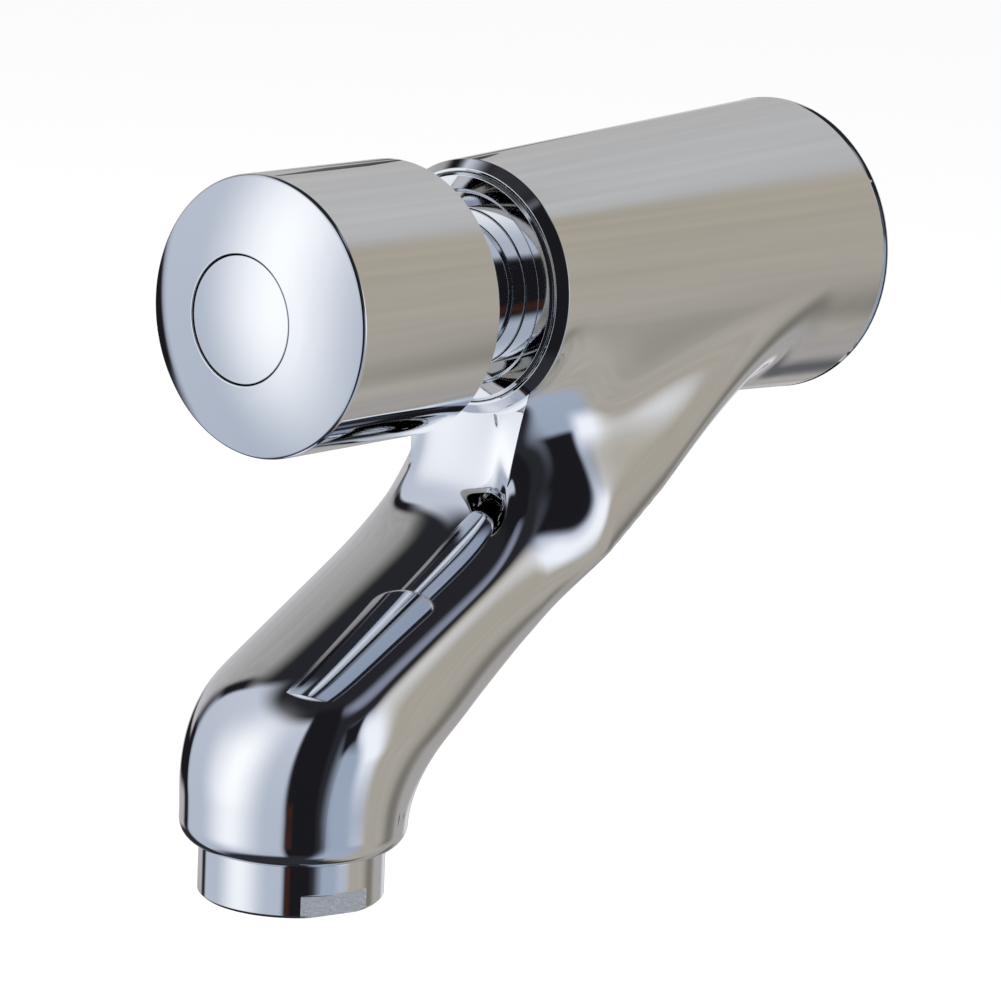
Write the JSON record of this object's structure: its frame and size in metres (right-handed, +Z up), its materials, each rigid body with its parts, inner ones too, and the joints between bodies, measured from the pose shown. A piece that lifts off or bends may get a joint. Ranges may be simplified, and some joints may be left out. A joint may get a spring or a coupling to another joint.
{
  "type": "push timed tap",
  "caption": "Wall-mounted self-closing tap: tapered barrel, sprung push button on its axis, and a drooping cast spout with an aerator.",
  "frame": {"origin": "on the barrel's axis, in the plane of the barrel's wall face, where the inlet tail leaves it", "axes": "+Y into the wall along the inlet tail, -Y out along the push button, +Z up, spout towards -Z"},
  "size_m": [0.046, 0.1424, 0.1083],
  "materials": {
    "chrome_body": "polished",
    "chrome_button": "polished",
    "chrome_disc": "polished",
    "chrome_neck": "polished",
    "chrome_collar": "polished",
    "chrome_aerator": "polished",
    "brass": "machined",
    "black_rubber": "matte",
    "steel": "bright",
    "white_acetal": "moulded",
    "grey_plastic": "moulded",
    "red_fibre": "fibre"
  },
  "bodies": {
    "tap_body": {"body": "chrome_body", "bonnet_ring": "chrome_collar", "guide_bush": "chrome_collar", "aerator_housing": "chrome_aerator", "cartridge_housing": "brass", "valve_seat": "brass", "inlet_tail": "brass", "neck_oring": "black_rubber", "flange_oring": "black_rubber", "cartridge_oring": "black_rubber", "seat_oring": "black_rubber", "wall_gasket": "black_rubber", "aerator_washer": "black_rubber", "timing_pin": "steel", "return_spring": "steel", "inlet_screen": "steel", "outlet_screen": "steel", "inlet_strainer": "grey_plastic", "aerator_insert": "grey_plastic"},
    "push_assembly": {"push_button": "chrome_button", "index_disc": "chrome_disc", "button_screw": "steel", "neck_sleeve": "chrome_neck", "push_stem": "brass", "stem_washer": "red_fibre", "metering_piston": "white_acetal", "piston_seal": "black_rubber", "valve_washer": "black_rubber", "valve_head": "brass", "valve_nut": "steel"}
  },
  "joints": [
    {"name": "push", "type": "slide", "parent": "tap_body", "child": "push_assembly", "axis": [0, 1, 0], "range_m": [0, 0.009], "stiffness_N_per_m": 1500, "springref_m": -0.02, "deforming": ["return_spring"]}
  ]
}
